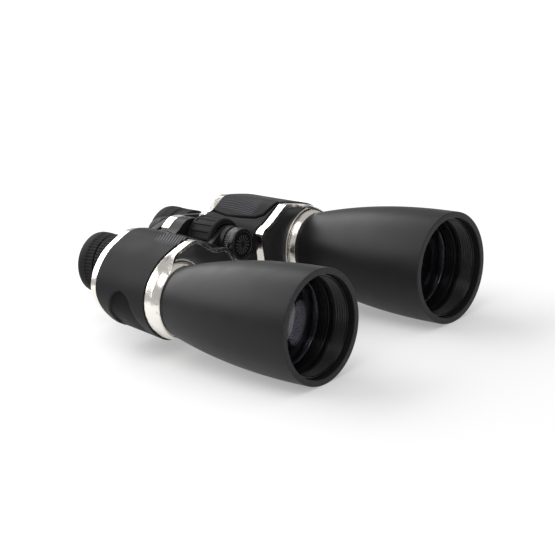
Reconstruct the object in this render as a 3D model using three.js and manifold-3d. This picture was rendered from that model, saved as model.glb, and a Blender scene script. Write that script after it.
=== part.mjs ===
// Porro-prism binoculars, 60 mm class, as an assembly of separate pieces.
// Millimetres. X runs across the two barrels, Y along the optical axes with the
// eyepieces at +Y, and Z is up. "left" and "right" are the user's, so right is -X.
// Every piece is placed from the driving dimensions below. The model is built with
// y = 0 at the objective rims, x = 0 and z = HINGE_HEIGHT on the centre hinge, and
// z = 0 on the objective axes; the outer group then moves the origin to the middle
// of the base.

import * as THREE from 'three';
import { mergeVertices } from 'three/addons/utils/BufferGeometryUtils.js';
import Module from 'manifold-3d';

const wasm = await Module();
wasm.setup();

// ---------------------------------------------------------------- driving dimensions

const OVERALL_LENGTH = 209.8;
const OBJECTIVE_SPACING = 128.4;
const EYEPIECE_SPACING = 66.2;
const EYEPIECE_RISE = 2.9; // eyepiece axis above the objective axis
const HINGE_HEIGHT = 17.7; // hinge axis above the objective axis

const SEAT_GAP = 0.3; // between pieces that seat on each other
const RUN_GAP = 0.3; // between pieces that turn or slide on each other
const OVERRUN = 1; // how far a cutting tool passes the faces that it cuts
const FOCUS_TRAVEL = 4; // each way, along Y
const DIOPTRE_TRAVEL = 1; // each way, along Y

// objective barrel
const RIM_RADIUS = 35.1;
const ROOT_RADIUS = 21.8;
const BARREL_LENGTH = 107;
const BARREL_FLARE = 2.2; // exponent of the outer curve
const BARREL_WALL = 2.4;
const RIM_CHAMFER = 0.7;
const HOOD_BORE = 31.2;
const NECK_RADIUS = 19;
const NECK_WALL = 2;
const NECK_LENGTH = 10;
const BARREL_STATIONS = [0.2, 0.4, 0.55, 0.7, 0.85, 1]; // shares of its length
const BORE_STATIONS = [0.8, 0.6, 0.35];
const CONE_LENGTH = 5; // bright cone between the barrel root and the housing
const CONE_LIP = 0.4; // step from the barrel root up to the cone

// objective cell inside the barrel
const SLEEVE_WALL = 1.2;
const SLEEVE_FRONT = 4;
const SLEEVE_STEP_Y = 14;
const SLEEVE_STEP = 1.4;
const LENS_FACE_Y = 25;
const RETAINER_DEPTH = 3;
const RETAINER_WALL = 2.2;
const LENS_EDGE = 3;
const LENS_FRONT_BULGE = 3;
const LENS_REAR_BULGE = 2;
const BULGE_HALFWAY = 0.75; // share of a lens's bulge at half its radius

// prism housing: four circles that its cross-section is wrapped around
const HOUSING_LENGTH = 39;
const HOUSING_WALL = 1.8;
const OUTER_RADIUS = 24;
const CROWN = { x: 46.5, z: 15.2, r: 17.8 };
const SHOULDER = { x: 27, z: 13.2, r: 10.1 };
const SOLE = { x: 31.5, z: -6.5, r: 13 };
const LOBE = { x: 20.5, z: 9.3, r: 11.3 }; // shoulder of the right front plate, by the hinge
const REAR_RISE = 4; // how far the section climbs over its length
const REAR_SQUASH = 0.06;
const REAR_TUCK = 1;

// bright trim, covers and armour
const TRIM_WIDTH = 6;
const TRIM_WALL = 2.2;
const COVER_STEP = 0.5; // front cover stands back from the trim's front edge
const COVER_DEPTH = 8;
const REAR_COVER_STEP = 0.8;
const ARMOUR_PROUD = 0.8; // outside the trim's outline
const ARMOUR_SINK = 0.7; // inside it

// prisms
const PRISM_WIDTH = 17;
const PRISM_LENGTH = 36;
const PRISM_TIP = 2;
const SHELF_SETBACK = 18.5; // behind the housing's front edge
const SHELF_THICKNESS = 2;
const SHELF_HOLE = 8;
const INTERMEDIATE_BEAM = { x: 48.6, z: 17 };
const CLIP_THICKNESS = 0.8;
const CLIP_WIDTH = 6;

// eyepieces
const TUBE_RADIUS = 12;
const TUBE_WALL = 1.4;
const TUBE_REACH = 6; // how far the tube stands into the housing
const COLLAR_RADIUS = 19;
const RIB_HEIGHT = 0.4;
const RIB_COUNT = 30;
const EYECUP_RADIUS = 19.5;
const EYECUP_LENGTH = 14;
const EYECUP_LIP = 2;
const EYECUP_SEAT = 4; // depth of the eyecup on the tube
const EYECUP_ROUND = 3.5;
const FIELD_LENS_INSET = 9; // from the tube's front end
const EYE_LENS_INSET = 9.8; // from the tube's rear end
const EYE_LENS_THICKNESS = 4;
const EYE_LENS_BULGE = 1.2;

// hinge, along Y
const CAP_RADIUS = 10.3;
const CAP_SETBACK = 0.7; // behind the bezel's front edge
const CAP_DEPTH = 4.3;
const CAP_CHAMFER = 0.5;
const CAP_FACE = 1.7;
const CAP_WALL = 1.8;
const CAP_STUD_RADIUS = 2.7;
const CAP_STUD_LENGTH = 6;
const COLLAR_RING_RADIUS = 10;
const COLLAR_RING_DEPTH = 3.4;
const PIN_RADIUS = 6;
const BUSH_RADIUS = 4.7;
const SOCKET_RADIUS = 3.2; // 1/4 inch tripod thread
const SOCKET_DEPTH = 9;
const FRONT_LUG_RADIUS = 10.6;
const FRONT_LUG_DEPTH = 3.2;
const REAR_LUG_RADIUS = 12.5;
const LEFT_REAR_LUG_DEPTH = 4.6;
const LUG_HUMP = { x: 8, z: 18.6, r: 13.8 }; // raised back of the right rear lug
const LUG_ARM_RADIUS = 5;
const LUG_FOOT_SHIFT = 2; // foot of the left rear lug, beyond the shoulder

// focusing
const WHEEL_RADIUS = 14.8;
const WHEEL_WIDTH = 20;
const WHEEL_GRIP = 2.2;
const WHEEL_FLUTES = 18;
const FLUTE_DEPTH = 0.7;
const WHEEL_SKIRT = 1.5;
const WHEEL_HUB = 6;
const WHEEL_WEB = 5;
const SPINDLE_RADIUS = 3;
const BRIDGE_HUB_RADIUS = 9;
const BRIDGE_THICKNESS = 5.8;
const BRIDGE_COLLAR = 4.5; // width of material round an eyepiece tube
const END_CAP_RADIUS = 7;
const END_CAP_DEPTH = 3.5;
const END_CAP_CHAMFER = 1;

const LARGE_SEGMENTS = 32;
const SMALL_SEGMENTS = 20;
const ARC_STEP = Math.PI / 10;

// ------------------------------------------------------------------ derived stations

const objectiveX = OBJECTIVE_SPACING / 2;
const eyepieceX = EYEPIECE_SPACING / 2;
const trimFrontY = BARREL_LENGTH + CONE_LENGTH;
const housingFrontY = trimFrontY + TRIM_WIDTH;
const housingRearY = housingFrontY + HOUSING_LENGTH;
const trimRearY = housingRearY + TRIM_WIDTH;
const shelfY = housingFrontY + SHELF_SETBACK;
const capFrontY = trimFrontY + CAP_SETBACK;
const ringY = capFrontY + CAP_DEPTH + SEAT_GAP;
const leftFrontLugY = ringY + COLLAR_RING_DEPTH + SEAT_GAP;
const rightFrontLugY = leftFrontLugY + FRONT_LUG_DEPTH + RUN_GAP;
const wheelY = rightFrontLugY + FRONT_LUG_DEPTH + RUN_GAP;
const rightRearLugY = wheelY + WHEEL_WIDTH + RUN_GAP;
const leftRearLugY = trimRearY + RUN_GAP;
const bridgeY = leftRearLugY + LEFT_REAR_LUG_DEPTH + FOCUS_TRAVEL + RUN_GAP;
const leftArmY = bridgeY + BRIDGE_THICKNESS + RUN_GAP;
const endCapY = leftArmY + BRIDGE_THICKNESS + RUN_GAP;
const eyecupY = OVERALL_LENGTH - EYECUP_LENGTH;
const lensRadius = HOOD_BORE - 2 * SEAT_GAP;
const sleeveBore = HOOD_BORE - SEAT_GAP - SLEEVE_WALL;
const lensSeat = sleeveBore - SLEEVE_STEP;
const tubeFrontY = housingRearY - TUBE_REACH;
const tubeEndY = eyecupY + EYECUP_SEAT;
const fieldLensY = tubeFrontY + FIELD_LENS_INSET;
const eyeLensY = tubeEndY - EYE_LENS_INSET;
const housingOuter = -ARMOUR_SINK - SEAT_GAP; // offsets from the trim's outline
const housingInner = housingOuter - HOUSING_WALL;

// ------------------------------------------------------------------------ materials

const finishes = {
  satinBlack: { color: 0x2c2c30, roughness: 0.45, metalness: 0 },
  glossBlack: { color: 0x101013, roughness: 0.2, metalness: 0 },
  chrome: { color: 0xe6e4e0, roughness: 0.12, metalness: 1 },
  armour: { color: 0x3a3a40, roughness: 0.65, metalness: 0 },
  softRubber: { color: 0x333338, roughness: 0.8, metalness: 0 },
  blackMetal: { color: 0x1d1d20, roughness: 0.4, metalness: 0.6 },
  greyMetal: { color: 0x9a9a9c, roughness: 0.3, metalness: 1 },
  brass: { color: 0xb08d4a, roughness: 0.35, metalness: 1 },
  glass: { color: 0x4a4560, roughness: 0.03, metalness: 0 },
  springSteel: { color: 0xb4b6b8, roughness: 0.35, metalness: 1 },
};

// ---------------------------------------------------------------------- solid helpers

// One closed surface: vertices merged, empty triangles dropped, faces pointing out.
function closed(geometry) {
  const bare = geometry.clone();
  for (const name of Object.keys(bare.attributes)) {
    if (name !== 'position') bare.deleteAttribute(name);
  }
  const merged = mergeVertices(bare, 1e-4);
  const at = (i) => new THREE.Vector3().fromBufferAttribute(merged.attributes.position, i);
  const kept = [];
  let volume = 0;
  for (let i = 0; i < merged.index.count; i += 3) {
    const [a, b, c] = [0, 1, 2].map((k) => merged.index.getX(i + k));
    if (a === b || b === c || c === a) continue;
    kept.push([a, b, c]);
    volume += at(a).dot(at(b).cross(at(c)));
  }
  merged.setIndex(kept.flatMap(([a, b, c]) => (volume > 0 ? [a, b, c] : [a, c, b])));
  return merged;
}

function toSolid(geometry) {
  const merged = closed(geometry);
  return new wasm.Manifold(new wasm.Mesh({
    numProp: 3,
    vertProperties: new Float32Array(merged.attributes.position.array),
    triVerts: new Uint32Array(merged.index.array),
  }));
}

function fromSolid(solid) {
  const mesh = solid.getMesh();
  const geometry = new THREE.BufferGeometry();
  geometry.setAttribute('position', new THREE.BufferAttribute(mesh.vertProperties, 3));
  geometry.setIndex(new THREE.BufferAttribute(mesh.triVerts, 1));
  return geometry;
}

const cut = (body, ...tools) =>
  fromSolid(tools.reduce((solid, tool) => solid.subtract(toSolid(tool)), toSolid(body)));
const join = (body, ...others) =>
  fromSolid(others.reduce((solid, other) => solid.add(toSolid(other)), toSolid(body)));

// A solid of revolution about Y. The profile is a closed loop, or a line that starts and
// ends on the axis, of [y, radius] pairs.
function turned(profile, x = 0, z = 0, segments = SMALL_SEGMENTS) {
  const points = profile.map(([y, radius]) => new THREE.Vector2(radius, y));
  if (profile[0][1] > 0) points.push(points[0].clone());
  return new THREE.LatheGeometry(points, segments).translate(x, 0, z);
}

const ring = (front, depth, inner, outer, x, z, segments) => turned(
  [[front, inner], [front, outer], [front + depth, outer], [front + depth, inner]],
  x, z, segments);
const rod = (front, depth, radius, x, z, segments) => turned(
  [[front, 0], [front, radius], [front + depth, radius], [front + depth, 0]],
  x, z, segments);

// The tool for a hole right through a wall.
const drill = (front, depth, ...rest) => rod(front - OVERRUN, depth + 2 * OVERRUN, ...rest);

// A flat outline in the XZ plane, given depth along +Y from front.
function plate(shape, front, depth) {
  return new THREE.ExtrudeGeometry(shape, { depth, bevelEnabled: false, steps: 1 })
    .rotateX(Math.PI / 2)
    .translate(0, front + depth, 0);
}

// The loop that a belt makes round circles listed anticlockwise, each grown by grow.
function beltPoints(circles, grow) {
  const normals = circles.map((circle, i) => {
    const next = circles[(i + 1) % circles.length];
    const dx = next.x - circle.x;
    const dz = next.z - circle.z;
    return Math.atan2(dz, dx) - Math.acos((circle.r - next.r) / Math.hypot(dx, dz));
  });
  return circles.flatMap((circle, i) => {
    const start = normals[(i + circles.length - 1) % circles.length];
    let sweep = normals[i] - start;
    while (sweep < 0) sweep += 2 * Math.PI;
    const steps = Math.max(1, Math.round(sweep / ARC_STEP));
    return Array.from({ length: steps + 1 }, (_, k) => {
      const angle = start + (sweep * k) / steps;
      const radius = circle.r + grow;
      return [circle.x + radius * Math.cos(angle), circle.z + radius * Math.sin(angle)];
    });
  });
}

// The loop as a shape on one side, still anticlockwise when it is mirrored to -X.
function toShape(points, side) {
  const placed = points.map(([x, z]) => new THREE.Vector2(side * x, z));
  return new THREE.Shape(side < 0 ? placed.reverse() : placed);
}

function belt(circles, side, grow, innerGrow) {
  const shape = toShape(beltPoints(circles, grow), side);
  if (innerGrow !== undefined) shape.holes.push(toShape(beltPoints(circles, innerGrow), side));
  return shape;
}

// The housing's section climbs and tucks in towards the eyepieces; everything that
// follows the housing is led along the same way.
function followHousing(geometry) {
  const position = geometry.attributes.position;
  for (let i = 0; i < position.count; i++) {
    const x = position.getX(i);
    const run = (position.getY(i) - housingFrontY) / (trimRearY - housingFrontY);
    const t = Math.max(0, run);
    position.setX(i, x - Math.sign(x) * REAR_TUCK * t);
    position.setZ(i, position.getZ(i) * (1 - REAR_SQUASH * t) + REAR_RISE * t);
  }
  return geometry;
}

const model = new THREE.Group();
model.position.set(0, -OVERALL_LENGTH / 2, RIM_RADIUS);

function piece(name, finish, geometry) {
  const mesh = new THREE.Mesh(closed(geometry), new THREE.MeshStandardMaterial(finishes[finish]));
  mesh.name = name;
  model.add(mesh);
}

// -------------------------------------------------------------------- objective barrel

const barrelRadius = (y) =>
  RIM_RADIUS - (RIM_RADIUS - ROOT_RADIUS) * (y / BARREL_LENGTH) ** BARREL_FLARE;

function barrel(x) {
  const bore = (y) => Math.min(HOOD_BORE, barrelRadius(y) - BARREL_WALL);
  const neckEnd = BARREL_LENGTH + NECK_LENGTH;
  return turned([
    [0, HOOD_BORE], [0, RIM_RADIUS - RIM_CHAMFER], [RIM_CHAMFER, RIM_RADIUS],
    ...BARREL_STATIONS.map((t) => [t * BARREL_LENGTH, barrelRadius(t * BARREL_LENGTH)]),
    [BARREL_LENGTH, NECK_RADIUS], [neckEnd, NECK_RADIUS], [neckEnd, NECK_RADIUS - NECK_WALL],
    [BARREL_LENGTH - NECK_WALL, NECK_RADIUS - NECK_WALL],
    ...BORE_STATIONS.map((t) => [t * BARREL_LENGTH, bore(t * BARREL_LENGTH)]),
  ], x, 0, LARGE_SEGMENTS);
}

// Blackened sleeve with one step, between the hood and the lens.
function sleeve(x) {
  const outer = HOOD_BORE - SEAT_GAP;
  return turned([
    [SLEEVE_FRONT, sleeveBore], [SLEEVE_FRONT, outer], [LENS_FACE_Y, outer],
    [LENS_FACE_Y, lensSeat], [SLEEVE_STEP_Y, lensSeat], [SLEEVE_STEP_Y, sleeveBore],
  ], x, 0, LARGE_SEGMENTS);
}

const lensBackY = LENS_FACE_Y + SEAT_GAP + LENS_EDGE;

function crownLens(x) {
  const front = LENS_FACE_Y + SEAT_GAP;
  return turned([
    [front - LENS_FRONT_BULGE, 0],
    [front - LENS_FRONT_BULGE * BULGE_HALFWAY, lensRadius / 2],
    [front, lensSeat - SEAT_GAP], [front, lensRadius], [lensBackY, lensRadius],
    [lensBackY + LENS_REAR_BULGE * BULGE_HALFWAY, lensRadius / 2],
    [lensBackY + LENS_REAR_BULGE, 0],
  ], x, 0, LARGE_SEGMENTS);
}

function flintLens(x) {
  const front = lensBackY + SEAT_GAP;
  return turned([
    [front + LENS_REAR_BULGE, 0],
    [front + LENS_REAR_BULGE * BULGE_HALFWAY, lensRadius / 2],
    [front, lensRadius], [front + LENS_EDGE, lensRadius], [front + LENS_EDGE, 0],
  ], x, 0, LARGE_SEGMENTS);
}

// Threaded ring behind the doublet, screwed into the hood bore.
function retainer(x) {
  const front = lensBackY + 2 * SEAT_GAP + LENS_EDGE;
  const outer = HOOD_BORE - SEAT_GAP;
  return ring(front, RETAINER_DEPTH, lensRadius - RETAINER_WALL, outer, x, 0, LARGE_SEGMENTS);
}

// --------------------------------------------------------------------- prism housing

const outerCircle = { x: objectiveX, z: 0, r: OUTER_RADIUS };
const housingCircles = [outerCircle, CROWN, SHOULDER, SOLE];
const frontCircles = { left: housingCircles, right: [outerCircle, CROWN, LOBE, SOLE] };

// Bright bezel: a band round the housing's front edge and a cone round the barrel root,
// which run into each other on the outer side.
function frontBezel(side, circles) {
  const x = side * objectiveX;
  const coneFront = BARREL_LENGTH + SEAT_GAP;
  const coneBack = trimFrontY + TRIM_WIDTH / 2;
  const cone = turned([
    [coneFront, NECK_RADIUS + SEAT_GAP], [coneFront, ROOT_RADIUS + CONE_LIP],
    [trimFrontY, OUTER_RADIUS], [coneBack, OUTER_RADIUS], [coneBack, NECK_RADIUS + SEAT_GAP],
  ], x, 0, LARGE_SEGMENTS);
  return join(plate(belt(circles, side, 0, -TRIM_WALL), trimFrontY, TRIM_WIDTH), cone);
}

// Front cover, set into the bezel. On the right half it has the lobe beside the hinge.
function frontCover(side, circles) {
  const front = trimFrontY + COVER_STEP;
  const x = side * objectiveX;
  const face = plate(belt(circles, side, -TRIM_WALL - SEAT_GAP), front, COVER_DEPTH);
  const coneRoom = TRIM_WIDTH / 2 - COVER_STEP + SEAT_GAP;
  const coneHole = rod(front - OVERRUN, coneRoom + OVERRUN, OUTER_RADIUS + SEAT_GAP, x, 0,
    LARGE_SEGMENTS);
  const neckHole = drill(front, COVER_DEPTH, NECK_RADIUS + SEAT_GAP, x, 0, LARGE_SEGMENTS);
  const behind = plate(
    belt(housingCircles, side, ARMOUR_PROUD + SEAT_GAP), housingFrontY, COVER_DEPTH);
  return cut(face, coneHole, neckHole, behind);
}

// A shell the length of the housing, between two offsets of its outline.
const housingShell = (side, outer, inner) => followHousing(plate(
  belt(housingCircles, side, outer, inner), housingFrontY + SEAT_GAP,
  housingRearY - housingFrontY - 2 * SEAT_GAP));
const housing = (side) => housingShell(side, housingOuter, housingInner);
const armour = (side) => housingShell(side, ARMOUR_PROUD, -ARMOUR_SINK);

const rearTrim = (side) => followHousing(plate(
  belt(housingCircles, side, 0, -TRIM_WALL), housingRearY, TRIM_WIDTH));

// Rear cover with the guide bore of the eyepiece tube.
function rearCover(side) {
  const front = housingRearY;
  const depth = TRIM_WIDTH - REAR_COVER_STEP;
  const slab = followHousing(plate(
    belt(housingCircles, side, -TRIM_WALL - SEAT_GAP), front, depth));
  const bore = drill(front, depth, TUBE_RADIUS + RUN_GAP, side * eyepieceX, EYEPIECE_RISE);
  return cut(slab, bore);
}

// Shelf that the two prisms are clamped to, with a hole for each leg of the light path.
function prismShelf(side) {
  const slab = followHousing(plate(
    belt(housingCircles, side, housingInner - SEAT_GAP), shelfY, SHELF_THICKNESS));
  const beams = [[objectiveX, 0], [INTERMEDIATE_BEAM.x, INTERMEDIATE_BEAM.z],
    [eyepieceX, EYEPIECE_RISE]];
  return cut(slab, ...beams.map(([x, z]) =>
    drill(shelfY, SHELF_THICKNESS, SHELF_HOLE, side * x, z)));
}

// A 45-90-45 prism with its long face at y = 0 and its roof towards +Y, and the strap
// that holds it. Both lie along X until they are turned onto their light path.
function prismBlank() {
  const half = PRISM_LENGTH / 2;
  const roof = half - PRISM_TIP;
  const outline = new THREE.Shape([
    [-half, 0], [half, 0], [half, PRISM_TIP], [PRISM_TIP, roof], [-PRISM_TIP, roof],
    [-half, PRISM_TIP],
  ].map(([x, y]) => new THREE.Vector2(x, y)));
  return new THREE.ExtrudeGeometry(outline, { depth: PRISM_WIDTH, bevelEnabled: false })
    .translate(0, 0, -PRISM_WIDTH / 2);
}

function clipBlank() {
  const roof = PRISM_LENGTH / 2 - PRISM_TIP + SEAT_GAP;
  const inside = PRISM_WIDTH / 2 + SEAT_GAP;
  const outside = inside + CLIP_THICKNESS;
  const outline = new THREE.Shape([
    [inside, 0], [outside, 0], [outside, roof + CLIP_THICKNESS],
    [-outside, roof + CLIP_THICKNESS], [-outside, 0], [-inside, 0], [-inside, roof],
    [inside, roof],
  ].map(([x, y]) => new THREE.Vector2(x, y)));
  return new THREE.ExtrudeGeometry(outline, { depth: CLIP_WIDTH, bevelEnabled: false })
    .translate(0, 0, -CLIP_WIDTH / 2)
    .rotateY(Math.PI / 2);
}

// Turns a blank onto the leg between two beam points; facing is +1 for a roof towards
// the eyepieces and -1 for one towards the objective.
function onLightPath(blank, side, from, to, facing) {
  const seat = facing > 0 ? shelfY + SHELF_THICKNESS + SEAT_GAP : shelfY - SEAT_GAP;
  const angle = Math.atan2(to.z - from.z, side * (to.x - from.x));
  const turn = facing > 0 ? 0 : Math.PI;
  return blank.rotateX(turn).rotateY(-angle)
    .translate((side * (from.x + to.x)) / 2, seat, (from.z + to.z) / 2);
}

const objectiveBeam = { x: objectiveX, z: 0 };
const eyepieceBeam = { x: eyepieceX, z: EYEPIECE_RISE };
const legs = {
  rear: { from: objectiveBeam, to: INTERMEDIATE_BEAM, facing: 1 },
  front: { from: INTERMEDIATE_BEAM, to: eyepieceBeam, facing: -1 },
};

// -------------------------------------------------------------------------- eyepieces

const tube = (x) => ring(tubeFrontY, tubeEndY - tubeFrontY, TUBE_RADIUS - TUBE_WALL,
  TUBE_RADIUS, x, EYEPIECE_RISE);

const glassRadius = TUBE_RADIUS - TUBE_WALL - SEAT_GAP;

const biconvex = (y, x) => turned([
  [y - EYE_LENS_BULGE, 0], [y - EYE_LENS_BULGE * BULGE_HALFWAY, glassRadius / 2],
  [y, glassRadius], [y + EYE_LENS_THICKNESS, glassRadius],
  [y + EYE_LENS_THICKNESS + EYE_LENS_BULGE * BULGE_HALFWAY, glassRadius / 2],
  [y + EYE_LENS_THICKNESS + EYE_LENS_BULGE, 0],
], x, EYEPIECE_RISE);

const lensSpacer = (x) => ring(
  fieldLensY + EYE_LENS_THICKNESS + SEAT_GAP,
  eyeLensY - fieldLensY - EYE_LENS_THICKNESS - 2 * SEAT_GAP,
  glassRadius - TUBE_WALL, glassRadius, x, EYEPIECE_RISE);

// Soft cup: a tapered bore inside and a rounded outer lip.
function eyecup(x) {
  const end = OVERALL_LENGTH;
  const lip = EYECUP_RADIUS - EYECUP_ROUND;
  const slant = EYECUP_ROUND * (1 - Math.SQRT1_2);
  return turned([
    [eyecupY, TUBE_RADIUS + SEAT_GAP], [eyecupY, EYECUP_RADIUS],
    [end - EYECUP_ROUND, EYECUP_RADIUS], [end - slant, EYECUP_RADIUS - slant], [end, lip],
    [end, lip - EYECUP_LIP], [tubeEndY + SEAT_GAP, TUBE_RADIUS + SEAT_GAP],
  ], x, EYEPIECE_RISE, LARGE_SEGMENTS);
}

// Ring with ribs along Y all round it. Each rib takes four fifths of its pitch, two of
// them on top.
function ribbedRing(front, depth, inner, outer, ribs, ribHeight, x, z) {
  const pitch = (2 * Math.PI) / ribs;
  const flank = pitch / 5;
  const points = Array.from({ length: ribs }, (_, i) => [
    [outer - ribHeight, i * pitch], [outer, i * pitch + flank],
    [outer, i * pitch + 3 * flank], [outer - ribHeight, i * pitch + 4 * flank],
  ]).flat().map(([r, a]) => new THREE.Vector2(r * Math.cos(a), r * Math.sin(a)));
  const shape = new THREE.Shape(points);
  const bore = Array.from({ length: SMALL_SEGMENTS }, (_, i) => {
    const angle = (i / SMALL_SEGMENTS) * 2 * Math.PI;
    return new THREE.Vector2(inner * Math.cos(angle), inner * Math.sin(angle));
  });
  shape.holes.push(new THREE.Path(bore));
  return plate(shape, front, depth).translate(x, 0, z);
}

// Arm of the eyepiece bridge: a hub on the spindle and a collar round an eyepiece tube.
function bridgeArm(side, front) {
  const hub = { x: 0, z: HINGE_HEIGHT, r: BRIDGE_HUB_RADIUS };
  const collar = { x: eyepieceX, z: EYEPIECE_RISE, r: TUBE_RADIUS + BRIDGE_COLLAR };
  return cut(
    plate(belt([collar, hub], side, 0), front, BRIDGE_THICKNESS),
    drill(front, BRIDGE_THICKNESS, SPINDLE_RADIUS + RUN_GAP, 0, HINGE_HEIGHT),
    drill(front, BRIDGE_THICKNESS, TUBE_RADIUS + SEAT_GAP, side * eyepieceX, EYEPIECE_RISE));
}

// ------------------------------------------------------------------------------ hinge

const onHinge = (make, ...sizes) => make(...sizes, 0, HINGE_HEIGHT);
const pinBore = (front, depth) => onHinge(drill, front, depth, PIN_RADIUS + RUN_GAP);

// The space that the armoured housing takes, with the seating gap round it.
const housingRoom = (side, front, depth) => followHousing(plate(
  belt(housingCircles, side, ARMOUR_PROUD + SEAT_GAP), front - OVERRUN, depth + 2 * OVERRUN));

// A lug: a ring on the hinge pin with an arm to its half, trimmed to the housing's wall.
function lug(side, front, depth, radius, armZ) {
  const hub = { x: 0, z: HINGE_HEIGHT, r: radius };
  const arm = { x: SHOULDER.x, z: armZ, r: LUG_ARM_RADIUS };
  const blank = plate(belt([arm, hub], side, 0), front, depth);
  return cut(blank, housingRoom(side, front, depth), pinBore(front, depth));
}

// The right rear lug carries the hollow rear pin that the left half turns on, and its
// back rises in a hump beside the focus wheel.
function rightRearLug() {
  const depth = trimRearY - rightRearLugY;
  const hub = { x: 0, z: HINGE_HEIGHT, r: REAR_LUG_RADIUS };
  const root = { x: SHOULDER.x, z: SHOULDER.z + REAR_RISE, r: SHOULDER.r - ARMOUR_SINK };
  const blank = join(
    plate(belt([root, LUG_HUMP], -1, 0), rightRearLugY, depth),
    onHinge(rod, rightRearLugY, depth, hub.r));
  const pinLength = depth + LEFT_REAR_LUG_DEPTH + RUN_GAP;
  const pin = onHinge(rod, rightRearLugY, pinLength, PIN_RADIUS);
  const bore = onHinge(drill, rightRearLugY, pinLength, SPINDLE_RADIUS + RUN_GAP);
  return cut(join(cut(blank, housingRoom(-1, rightRearLugY, depth)), pin), bore);
}

// Rear lug of the left half: it stands behind the right one, on the rear cover.
function leftRearLug() {
  const hub = { x: 0, z: HINGE_HEIGHT, r: REAR_LUG_RADIUS };
  const foot = {
    x: SHOULDER.x + LUG_FOOT_SHIFT,
    z: SHOULDER.z + REAR_RISE + LUG_FOOT_SHIFT,
    r: LUG_ARM_RADIUS,
  };
  return cut(
    plate(belt([foot, hub], 1, 0), leftRearLugY, LEFT_REAR_LUG_DEPTH),
    pinBore(leftRearLugY, LEFT_REAR_LUG_DEPTH),
    drill(leftRearLugY, LEFT_REAR_LUG_DEPTH, TUBE_RADIUS + 2 * RUN_GAP, eyepieceX,
      EYEPIECE_RISE));
}

// Cap over the tripod socket: a shallow cup with a stud that screws into the bush.
function hingeCap() {
  const back = capFrontY + CAP_DEPTH;
  const face = capFrontY + CAP_FACE;
  const stud = face + CAP_STUD_LENGTH;
  return onHinge(turned, [
    [capFrontY, 0], [capFrontY, CAP_RADIUS - CAP_CHAMFER],
    [capFrontY + CAP_CHAMFER, CAP_RADIUS],
    [back, CAP_RADIUS], [back, CAP_RADIUS - CAP_WALL], [face, CAP_RADIUS - CAP_WALL],
    [face, CAP_STUD_RADIUS], [stud, CAP_STUD_RADIUS], [stud, 0],
  ]);
}

const pinFrontY = capFrontY + CAP_FACE + SEAT_GAP;
const pinBackY = rightFrontLugY + FRONT_LUG_DEPTH;

const socketEndY = pinFrontY + SOCKET_DEPTH + SEAT_GAP;

const frontPin = () => onHinge(turned, [
  [socketEndY, 0], [socketEndY, BUSH_RADIUS + SEAT_GAP], [pinFrontY, BUSH_RADIUS + SEAT_GAP],
  [pinFrontY, PIN_RADIUS], [pinBackY, PIN_RADIUS], [pinBackY, 0],
]);

// -------------------------------------------------------------------------- focusing

// Wheel core: a web with a hub on the spindle and a skirt that the grip sits on, open
// towards the objectives.
function wheelCore() {
  const back = wheelY + WHEEL_WIDTH;
  const skirt = WHEEL_RADIUS - WHEEL_GRIP - SEAT_GAP;
  const bore = SPINDLE_RADIUS + RUN_GAP;
  return onHinge(turned, [
    [wheelY + WHEEL_WEB, bore], [wheelY + WHEEL_WEB, WHEEL_HUB],
    [back - WHEEL_WEB, WHEEL_HUB], [back - WHEEL_WEB, skirt - WHEEL_SKIRT],
    [wheelY, skirt - WHEEL_SKIRT], [wheelY, skirt], [back, skirt], [back, bore],
  ]);
}

const wheelGrip = () => onHinge(ribbedRing, wheelY, WHEEL_WIDTH, WHEEL_RADIUS - WHEEL_GRIP,
  WHEEL_RADIUS, WHEEL_FLUTES, FLUTE_DEPTH);

const spindleY = pinBackY + FOCUS_TRAVEL + RUN_GAP;
const spindle = () => onHinge(
  rod, spindleY, endCapY + END_CAP_DEPTH / 2 - spindleY, SPINDLE_RADIUS);

// Screwed cup that keeps the arms on the spindle.
function endCap() {
  const bore = SPINDLE_RADIUS + SEAT_GAP;
  const seat = endCapY + END_CAP_DEPTH / 2 + SEAT_GAP;
  const back = endCapY + END_CAP_DEPTH;
  return onHinge(turned, [
    [seat, 0], [seat, bore], [endCapY, bore], [endCapY, END_CAP_RADIUS],
    [back - END_CAP_CHAMFER, END_CAP_RADIUS], [back, END_CAP_RADIUS - END_CAP_CHAMFER],
    [back, 0],
  ]);
}

// --------------------------------------------------------------------------- assembly

for (const [name, side] of [['right', -1], ['left', 1]]) {
  const x = side * objectiveX;
  const eyeX = side * eyepieceX;
  piece(`${name}_barrel`, 'satinBlack', barrel(x));
  piece(`${name}_hood_sleeve`, 'glossBlack', sleeve(x));
  piece(`${name}_objective_crown`, 'glass', crownLens(x));
  piece(`${name}_objective_flint`, 'glass', flintLens(x));
  piece(`${name}_objective_retainer`, 'blackMetal', retainer(x));
  piece(`${name}_front_bezel`, 'chrome', frontBezel(side, frontCircles[name]));
  piece(`${name}_front_cover`, 'satinBlack', frontCover(side, frontCircles[name]));
  piece(`${name}_prism_housing`, 'blackMetal', housing(side));
  piece(`${name}_armour`, 'armour', armour(side));
  piece(`${name}_rear_trim`, 'chrome', rearTrim(side));
  piece(`${name}_rear_cover`, 'satinBlack', rearCover(side));
  piece(`${name}_prism_shelf`, 'blackMetal', prismShelf(side));
  for (const [place, { from, to, facing }] of Object.entries(legs)) {
    piece(`${name}_${place}_prism`, 'glass', onLightPath(prismBlank(), side, from, to, facing));
    piece(`${name}_${place}_prism_clip`, 'springSteel',
      onLightPath(clipBlank(), side, from, to, facing));
  }
  piece(`${name}_eyepiece_tube`, 'blackMetal', tube(eyeX));
  piece(`${name}_field_lens`, 'glass', biconvex(fieldLensY, eyeX));
  piece(`${name}_lens_spacer`, 'blackMetal', lensSpacer(eyeX));
  piece(`${name}_eye_lens`, 'glass', biconvex(eyeLensY, eyeX));
  piece(`${name}_eyecup`, 'softRubber', eyecup(eyeX));
}

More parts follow.
